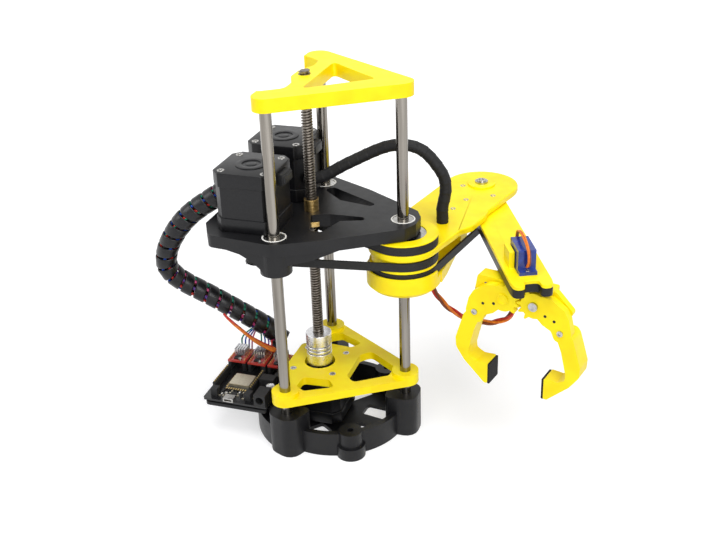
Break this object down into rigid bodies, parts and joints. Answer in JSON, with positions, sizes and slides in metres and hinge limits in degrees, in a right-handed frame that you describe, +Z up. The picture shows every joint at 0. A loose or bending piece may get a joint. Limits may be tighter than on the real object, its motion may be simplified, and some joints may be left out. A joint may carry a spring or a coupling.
{
  "type": "desktop robot arm",
  "caption": "Desktop robot arm: a motor platform climbs upright rods on a lead screw and carries a belt-driven folding arm with a turning wrist and a gripper.",
  "frame": {"origin": "the floor point under the centre of the circle through the guide rods, on the underside of the base ring", "axes": "+Z up; +X from the lead screw towards the shoulder rod; +Y towards the elbow side of the arm at rest"},
  "size_m": [0.3212, 0.2072, 0.2715],
  "materials": {
    "yellow_plastic": "printed yellow plastic, satin, with fine layer lines",
    "black_plastic": "printed black plastic, satin, with fine layer lines",
    "rod_steel": "ground and plated steel, mirror bright",
    "motor_black": "black anodised and painted, satin",
    "board_black": "black solder mask, glossy",
    "can_beige": "tinned shield, warm grey",
    "board_red": "red solder mask, glossy",
    "sink_alu": "extruded aluminium, bright",
    "socket_steel": "stamped steel shell",
    "connector_white": "moulded off-white plastic",
    "loom_black": "black spiral wrap with coloured wires inside",
    "screw_steel": "rolled steel thread, dull",
    "coupling_alu": "turned aluminium, satin",
    "nut_brass": "turned brass, slightly dull",
    "bearing_steel": "ground steel, bright",
    "pinion_alu": "turned aluminium",
    "belt_rubber": "black toothed rubber belt",
    "sleeve_fabric": "black woven sleeve",
    "servo_blue": "translucent blue plastic case",
    "horn_white": "white nylon",
    "lead_orange": "soft ribbon of orange, red and brown wires",
    "lead_red": "soft ribbon of orange, red and brown wires",
    "pad_rubber": "black foam rubber"
  },
  "bodies": {
    "base_frame": {"base_shell": "black_plastic", "lower_plate": "yellow_plastic", "top_plate": "yellow_plastic", "rod_front": "rod_steel", "rod_shoulder": "rod_steel", "rod_back": "rod_steel", "lift_motor": "motor_black", "board_bracket": "black_plastic", "circuit_board": "board_black", "wifi_module": "can_beige", "driver_boards": "board_red", "heat_sinks": "sink_alu", "power_jack": "black_plastic", "usb_socket": "socket_steel", "wire_sockets": "connector_white", "wire_loom": "loom_black"},
    "lift_screw": {"lead_screw": "screw_steel", "shaft_coupling": "coupling_alu"},
    "lift_platform": {"platform": "black_plastic", "lift_nut": "nut_brass", "rod_bearings": "bearing_steel", "shoulder_motor": "motor_black", "elbow_motor": "motor_black", "motor_pinions": "pinion_alu", "shoulder_belt": "belt_rubber", "drive_belt": "belt_rubber", "arm_sleeve": "sleeve_fabric"},
    "upper_arm": {"upper_arm_plate": "yellow_plastic", "shoulder_pulley": "yellow_plastic", "upper_arm_shell": "yellow_plastic", "arm_bearings": "bearing_steel", "elbow_cap": "yellow_plastic", "elbow_pin": "bearing_steel", "elbow_belt": "belt_rubber", "gripper_lead": "lead_red"},
    "idler": {"idler_pulley": "yellow_plastic"},
    "forearm": {"forearm_cover": "yellow_plastic", "forearm_body": "black_plastic", "elbow_pulley": "black_plastic", "wrist_servo": "servo_blue", "wrist_lead": "lead_orange"},
    "gripper": {"gripper_palm": "yellow_plastic", "gripper_servo": "servo_blue", "wrist_horn": "horn_white", "jaw_screws": "bearing_steel"},
    "left_jaw": {"jaw_left": "yellow_plastic", "pad_left": "pad_rubber"},
    "right_jaw": {"jaw_right": "yellow_plastic", "pad_right": "pad_rubber"}
  },
  "joints": [
    {"name": "screw_turn", "type": "hinge", "parent": "base_frame", "child": "lift_screw", "pos_m": [-0.01273, 0, 0.06], "axis": [0, 0, 1], "range_deg": [-2300, 1600]},
    {"name": "platform_lift", "type": "slide", "parent": "base_frame", "child": "lift_platform", "axis": [0, 0, 1], "range_m": [-0.05, 0.035], "deforming": ["wire_loom"]},
    {"name": "shoulder", "type": "hinge", "parent": "lift_platform", "child": "upper_arm", "pos_m": [0.05417, 0, 0.14], "axis": [0, 0, 1], "range_deg": [-85, 36], "deforming": ["arm_sleeve"]},
    {"name": "elbow", "type": "hinge", "parent": "upper_arm", "child": "forearm", "pos_m": [0.0832, 0.11643, 0.14], "axis": [0, 0, 1], "range_deg": [-4, 200], "deforming": ["gripper_lead"]},
    {"name": "idler_turn", "type": "hinge", "parent": "upper_arm", "child": "idler", "pos_m": [0.05417, 0, 0.14], "axis": [0, 0, 1], "range_deg": [-4, 160]},
    {"name": "wrist", "type": "hinge", "parent": "forearm", "child": "gripper", "pos_m": [0.14042, -0.00914, 0.137], "axis": [0, 0, 1], "range_deg": [-52, 127]},
    {"name": "right_jaw_turn", "type": "hinge", "parent": "gripper", "child": "right_jaw", "pos_m": [0.15134, -0.01164, 0.1265], "axis": [-0.2233, -0.9748, 0], "range_deg": [-15, 15]},
    {"name": "left_jaw_turn", "type": "hinge", "parent": "gripper", "child": "left_jaw", "pos_m": [0.12951, -0.00664, 0.1265], "axis": [-0.2233, -0.9748, 0], "range_deg": [-15, 15]}
  ],
  "couplings": [
    {"joint": "left_jaw_turn", "follows": "right_jaw_turn", "ratio": -1},
    {"joint": "idler_turn", "follows": "elbow", "ratio": 0.7588},
    {"joint": "screw_turn", "follows": "platform_lift", "rad_per_m": 785.4}
  ]
}
